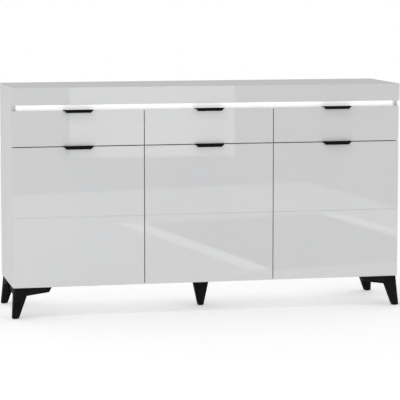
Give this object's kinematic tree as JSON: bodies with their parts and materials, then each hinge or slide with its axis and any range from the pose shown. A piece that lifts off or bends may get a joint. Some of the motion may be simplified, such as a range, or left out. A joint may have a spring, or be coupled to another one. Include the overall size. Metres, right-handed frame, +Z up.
{
  "type": "sideboard buffet",
  "caption": "Long white high-gloss sideboard with drawers over cupboard doors, a lit recess under its top, black edge-pull handles and black corner legs.",
  "frame": {"origin": "on the floor, under the middle of the whole object's box", "axes": "+X to the right along the width, +Y from the fronts to the back, +Z up"},
  "size_m": [1.5096, 0.3918, 0.865],
  "materials": {
    "gloss_white_board": "white high-gloss lacquer on board",
    "white_melamine_board": "white satin melamine",
    "white_hardboard": "white-painted thin hardboard",
    "black_leg_plastic": "black satin moulded plastic",
    "black_handle_paint": "black fine-textured powder coat",
    "zinc_plated_steel": "bright zinc plate",
    "nickel_plated_steel": "nickel plate",
    "cast_zinc": "raw die-cast zinc",
    "anodised_aluminium": "clear anodised",
    "frosted_diffuser": "frosted, lit from behind",
    "led_tape_board": "white flexible board",
    "white_plastic": "satin moulded plastic",
    "felt_pad": "black needle felt",
    "clear_bumper": "soft clear polyurethane"
  },
  "bodies": {
    "carcass": {"top_panel": "gloss_white_board", "top_fascia": "gloss_white_board", "side_left": "gloss_white_board", "side_right": "gloss_white_board", "divider_left": "white_melamine_board", "divider_right": "white_melamine_board", "bottom_panel": "white_melamine_board", "drawer_decks": "white_melamine_board", "cam_fittings": "cast_zinc", "led_rail": "white_melamine_board", "led_channel": "anodised_aluminium", "led_tape": "led_tape_board", "led_diffuser": "frosted_diffuser", "led_end_caps": "white_plastic", "back_panels": "white_hardboard", "back_joiners": "white_plastic", "cable_grommet": "white_plastic", "shelves": "white_melamine_board", "shelf_pins": "zinc_plated_steel", "leg_front_left": "black_leg_plastic", "leg_front_right": "black_leg_plastic", "leg_rear_right": "black_leg_plastic", "leg_rear_left": "black_leg_plastic", "leg_centre": "black_leg_plastic", "leg_pads": "felt_pad", "leg_screws": "zinc_plated_steel", "slide_cabinet_members": "zinc_plated_steel", "hinge_arms": "nickel_plated_steel", "front_bumpers": "clear_bumper"},
    "drawer_left": {"drawer_front_left": "gloss_white_board", "drawer_sides_left": "white_melamine_board", "drawer_back_left": "white_melamine_board", "drawer_floor_left": "white_hardboard", "drawer_handle_left": "black_handle_paint", "slide_drawer_members_left": "zinc_plated_steel"},
    "slide_left": {"slide_middle_members_left": "zinc_plated_steel"},
    "door_left": {"door_panel_left": "gloss_white_board", "door_handle_left": "black_handle_paint", "hinge_cups_left": "nickel_plated_steel"},
    "drawer_middle": {"drawer_front_middle": "gloss_white_board", "drawer_sides_middle": "white_melamine_board", "drawer_back_middle": "white_melamine_board", "drawer_floor_middle": "white_hardboard", "drawer_handle_middle": "black_handle_paint", "slide_drawer_members_middle": "zinc_plated_steel"},
    "slide_middle": {"slide_middle_members_middle": "zinc_plated_steel"},
    "door_middle": {"door_panel_middle": "gloss_white_board", "door_handle_middle": "black_handle_paint", "hinge_cups_middle": "nickel_plated_steel"},
    "drawer_right": {"drawer_front_right": "gloss_white_board", "drawer_sides_right": "white_melamine_board", "drawer_back_right": "white_melamine_board", "drawer_floor_right": "white_hardboard", "drawer_handle_right": "black_handle_paint", "slide_drawer_members_right": "zinc_plated_steel"},
    "slide_right": {"slide_middle_members_right": "zinc_plated_steel"},
    "door_right": {"door_panel_right": "gloss_white_board", "door_handle_right": "black_handle_paint", "hinge_cups_right": "nickel_plated_steel"}
  },
  "joints": [
    {"name": "drawer_left_slide", "type": "slide", "parent": "carcass", "child": "drawer_left", "axis": [0, -1, 0], "range_m": [0, 0.3]},
    {"name": "slide_left_extend", "type": "slide", "parent": "carcass", "child": "slide_left", "axis": [0, -1, 0], "range_m": [0, 0.15]},
    {"name": "drawer_middle_slide", "type": "slide", "parent": "carcass", "child": "drawer_middle", "axis": [0, -1, 0], "range_m": [0, 0.3]},
    {"name": "slide_middle_extend", "type": "slide", "parent": "carcass", "child": "slide_middle", "axis": [0, -1, 0], "range_m": [0, 0.15]},
    {"name": "drawer_right_slide", "type": "slide", "parent": "carcass", "child": "drawer_right", "axis": [0, -1, 0], "range_m": [0, 0.3]},
    {"name": "slide_right_extend", "type": "slide", "parent": "carcass", "child": "slide_right", "axis": [0, -1, 0], "range_m": [0, 0.15]},
    {"name": "door_left_hinge", "type": "hinge", "parent": "carcass", "child": "door_left", "pos_m": [-0.746, -0.1789, 0.3787], "axis": [0, 0, -1], "range_deg": [0, 95]},
    {"name": "door_middle_hinge", "type": "hinge", "parent": "carcass", "child": "door_middle", "pos_m": [-0.24493, -0.1789, 0.3787], "axis": [0, 0, -1], "range_deg": [0, 95]},
    {"name": "door_right_hinge", "type": "hinge", "parent": "carcass", "child": "door_right", "pos_m": [0.746, -0.1789, 0.3787], "axis": [0, 0, 1], "range_deg": [0, 95]}
  ],
  "couplings": [
    {"joint": "slide_left_extend", "follows": "drawer_left_slide", "ratio": 0.5},
    {"joint": "slide_middle_extend", "follows": "drawer_middle_slide", "ratio": 0.5},
    {"joint": "slide_right_extend", "follows": "drawer_right_slide", "ratio": 0.5}
  ]
}
